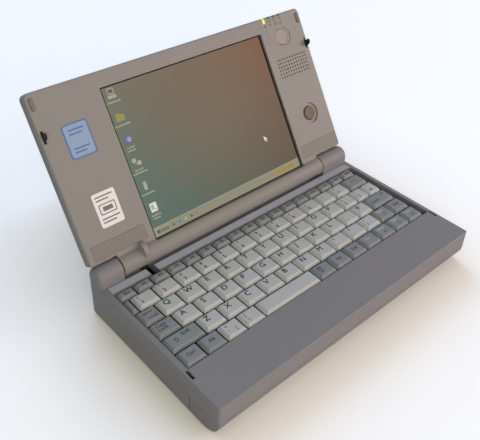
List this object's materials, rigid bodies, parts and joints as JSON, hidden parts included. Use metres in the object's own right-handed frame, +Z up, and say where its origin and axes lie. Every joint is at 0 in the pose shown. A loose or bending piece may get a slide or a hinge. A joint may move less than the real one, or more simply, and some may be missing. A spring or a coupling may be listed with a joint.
{
  "type": "laptop computer",
  "caption": "Small notebook computer with a hinged display lid, keyboard, pointing nub, front battery and card slot.",
  "frame": {"origin": "centre of the base casing's flat underside, between the rubber feet", "axes": "+X to the user's right, +Y from the user's side to the hinge side, +Z up"},
  "size_m": [0.2112, 0.1717, 0.1216],
  "materials": {
    "case_plastic": "fine matt texture",
    "bezel_plastic": "fine matt texture",
    "cell": "wrapped",
    "dark_plastic": "matt",
    "sheet_steel": "rolled",
    "circuit_board": "solder mask",
    "chip": "moulded",
    "bare_aluminium": "bare",
    "drive_metal": "cast",
    "black_plastic": "satin",
    "dark_red_plastic": "polished",
    "black_rubber": "matt",
    "bezel_rubber": "matt",
    "nub_rubber": "matt",
    "pin_steel": "ground",
    "display_module": "painted",
    "screen_glass": "anti-glare",
    "speaker_metal": "satin",
    "light_guide": "clear",
    "light_key": "fine matt texture",
    "dark_key": "fine matt texture"
  },
  "bodies": {
    "base": {"top_case": "case_plastic", "bottom_case": "case_plastic", "keyboard_frame": "dark_plastic", "keyboard_backplate": "sheet_steel", "main_board": "circuit_board", "processor": "chip", "heat_plate": "bare_aluminium", "hard_drive": "drive_metal", "card_cage": "sheet_steel", "phone_socket": "black_plastic", "power_inlet": "black_plastic", "port_connector": "black_plastic", "infrared_window": "dark_red_plastic", "rubber_feet": "black_rubber", "memory_hatch": "case_plastic", "hinge_pin_left": "pin_steel", "hinge_pin_right": "pin_steel"},
    "battery": {"battery_case": "case_plastic", "battery_cells": "cell"},
    "battery_latch": {"battery_latch": "case_plastic"},
    "port_cover": {"port_cover": "case_plastic"},
    "eject_button": {"eject_button": "black_plastic"},
    "lid": {"lid_bezel": "bezel_plastic", "lid_back": "case_plastic", "display_panel": "display_module", "screen": "screen_glass", "inverter_board": "circuit_board", "lid_board": "circuit_board", "speaker": "speaker_metal", "pointing_board": "circuit_board", "pointing_nub": "nub_rubber", "status_lights": "light_guide", "hinge_covers": "bezel_plastic", "lid_bumpers": "bezel_rubber", "lid_fin": "bezel_plastic"},
    "power_button": {"power_button": "bezel_plastic"},
    "click_button_upper": {"click_button_upper": "case_plastic"},
    "click_button_lower": {"click_button_lower": "case_plastic"},
    "latch_hook_left": {"latch_hook_left": "black_plastic"},
    "latch_hook_right": {"latch_hook_right": "black_plastic"},
    "ctrl_key": {"ctrl_key": "dark_key"},
    "alt_key": {"alt_key": "dark_key"},
    "symbol_keys": {"symbol_keys": "light_key"},
    "space_bar": {"space_bar": "light_key"},
    "edit_keys": {"edit_keys": "dark_key"},
    "left_arrow_key": {"left_arrow_key": "dark_key"},
    "down_arrow_key": {"down_arrow_key": "dark_key"},
    "right_arrow_key": {"right_arrow_key": "dark_key"},
    "left_shift_key": {"left_shift_key": "dark_key"},
    "z_row_keys": {"z_row_keys": "light_key"},
    "up_arrow_key": {"up_arrow_key": "dark_key"},
    "right_shift_key": {"right_shift_key": "dark_key"},
    "caps_lock_key": {"caps_lock_key": "dark_key"},
    "a_row_keys": {"a_row_keys": "light_key"},
    "enter_key": {"enter_key": "dark_key"},
    "tab_key": {"tab_key": "dark_key"},
    "q_row_keys": {"q_row_keys": "light_key"},
    "number_row_keys": {"number_row_keys": "light_key"},
    "backspace_key": {"backspace_key": "dark_key"},
    "function_keys": {"function_keys": "dark_key"}
  },
  "joints": [
    {"name": "lid_hinge", "type": "hinge", "parent": "base", "child": "lid", "pos_m": [0, 0.0514, 0.0279], "axis": [1, 0, 0], "range_deg": [-12, 122.4]},
    {"name": "battery_slide", "type": "slide", "parent": "base", "child": "battery", "axis": [0, -1, 0], "range_m": [0, 0.03]},
    {"name": "battery_latch_slide", "type": "slide", "parent": "base", "child": "battery_latch", "axis": [1, 0, 0], "range_m": [0, 0.004], "stiffness_N_per_m": 150, "springref_m": -0.002},
    {"name": "port_cover_hinge", "type": "hinge", "parent": "base", "child": "port_cover", "pos_m": [0, 0.0569, 0.00495], "axis": [1, 0, 0], "range_deg": [-95, 0]},
    {"name": "eject_slide", "type": "slide", "parent": "base", "child": "eject_button", "axis": [-1, 0, 0], "range_m": [0, 0.005]},
    {"name": "power_button_press", "type": "slide", "parent": "lid", "child": "power_button", "axis": [0, 0.8443, -0.5358], "range_m": [0, 0.0007], "stiffness_N_per_m": 700, "springref_m": -0.0008},
    {"name": "click_upper_press", "type": "slide", "parent": "lid", "child": "click_button_upper", "axis": [0, -0.8443, 0.5358], "range_m": [0, 0.0008], "stiffness_N_per_m": 700, "springref_m": -0.0008},
    {"name": "click_lower_press", "type": "slide", "parent": "lid", "child": "click_button_lower", "axis": [0, -0.8443, 0.5358], "range_m": [0, 0.0008], "stiffness_N_per_m": 700, "springref_m": -0.0008},
    {"name": "latch_left_slide", "type": "slide", "parent": "lid", "child": "latch_hook_left", "axis": [0, -0.5358, -0.8443], "range_m": [0, 0.0012], "stiffness_N_per_m": 400, "springref_m": -0.001},
    {"name": "latch_right_slide", "type": "slide", "parent": "lid", "child": "latch_hook_right", "axis": [0, -0.5358, -0.8443], "range_m": [0, 0.0012], "stiffness_N_per_m": 400, "springref_m": -0.001},
    {"name": "ctrl_key_press", "type": "slide", "parent": "base", "child": "ctrl_key", "axis": [0, 0, -1], "range_m": [0, 0.0019], "stiffness_N_per_m": 180, "springref_m": -0.002},
    {"name": "alt_key_press", "type": "slide", "parent": "base", "child": "alt_key", "axis": [0, 0, -1], "range_m": [0, 0.0019], "stiffness_N_per_m": 180, "springref_m": -0.002},
    {"name": "symbol_keys_press", "type": "slide", "parent": "base", "child": "symbol_keys", "axis": [0, 0, -1], "range_m": [0, 0.0019], "stiffness_N_per_m": 360, "springref_m": -0.002},
    {"name": "space_bar_press", "type": "slide", "parent": "base", "child": "space_bar", "axis": [0, 0, -1], "range_m": [0, 0.0019], "stiffness_N_per_m": 180, "springref_m": -0.002},
    {"name": "edit_keys_press", "type": "slide", "parent": "base", "child": "edit_keys", "axis": [0, 0, -1], "range_m": [0, 0.0019], "stiffness_N_per_m": 720, "springref_m": -0.002},
    {"name": "left_arrow_key_press", "type": "slide", "parent": "base", "child": "left_arrow_key", "axis": [0, 0, -1], "range_m": [0, 0.0019], "stiffness_N_per_m": 180, "springref_m": -0.002},
    {"name": "down_arrow_key_press", "type": "slide", "parent": "base", "child": "down_arrow_key", "axis": [0, 0, -1], "range_m": [0, 0.0019], "stiffness_N_per_m": 180, "springref_m": -0.002},
    {"name": "right_arrow_key_press", "type": "slide", "parent": "base", "child": "right_arrow_key", "axis": [0, 0, -1], "range_m": [0, 0.0019], "stiffness_N_per_m": 180, "springref_m": -0.002},
    {"name": "left_shift_key_press", "type": "slide", "parent": "base", "child": "left_shift_key", "axis": [0, 0, -1], "range_m": [0, 0.0019], "stiffness_N_per_m": 180, "springref_m": -0.002},
    {"name": "z_row_keys_press", "type": "slide", "parent": "base", "child": "z_row_keys", "axis": [0, 0, -1], "range_m": [0, 0.0019], "stiffness_N_per_m": 1800, "springref_m": -0.002},
    {"name": "up_arrow_key_press", "type": "slide", "parent": "base", "child": "up_arrow_key", "axis": [0, 0, -1], "range_m": [0, 0.0019], "stiffness_N_per_m": 180, "springref_m": -0.002},
    {"name": "right_shift_key_press", "type": "slide", "parent": "base", "child": "right_shift_key", "axis": [0, 0, -1], "range_m": [0, 0.0019], "stiffness_N_per_m": 180, "springref_m": -0.002},
    {"name": "caps_lock_key_press", "type": "slide", "parent": "base", "child": "caps_lock_key", "axis": [0, 0, -1], "range_m": [0, 0.0019], "stiffness_N_per_m": 180, "springref_m": -0.002},
    {"name": "a_row_keys_press", "type": "slide", "parent": "base", "child": "a_row_keys", "axis": [0, 0, -1], "range_m": [0, 0.0019], "stiffness_N_per_m": 1980, "springref_m": -0.002},
    {"name": "enter_key_press", "type": "slide", "parent": "base", "child": "enter_key", "axis": [0, 0, -1], "range_m": [0, 0.0019], "stiffness_N_per_m": 180, "springref_m": -0.002},
    {"name": "tab_key_press", "type": "slide", "parent": "base", "child": "tab_key", "axis": [0, 0, -1], "range_m": [0, 0.0019], "stiffness_N_per_m": 180, "springref_m": -0.002},
    {"name": "q_row_keys_press", "type": "slide", "parent": "base", "child": "q_row_keys", "axis": [0, 0, -1], "range_m": [0, 0.0019], "stiffness_N_per_m": 2340, "springref_m": -0.002},
    {"name": "number_row_keys_press", "type": "slide", "parent": "base", "child": "number_row_keys", "axis": [0, 0, -1], "range_m": [0, 0.0019], "stiffness_N_per_m": 2340, "springref_m": -0.002},
    {"name": "backspace_key_press", "type": "slide", "parent": "base", "child": "backspace_key", "axis": [0, 0, -1], "range_m": [0, 0.0019], "stiffness_N_per_m": 180, "springref_m": -0.002},
    {"name": "function_keys_press", "type": "slide", "parent": "base", "child": "function_keys", "axis": [0, 0, -1], "range_m": [0, 0.0019], "stiffness_N_per_m": 3060, "springref_m": -0.002}
  ]
}
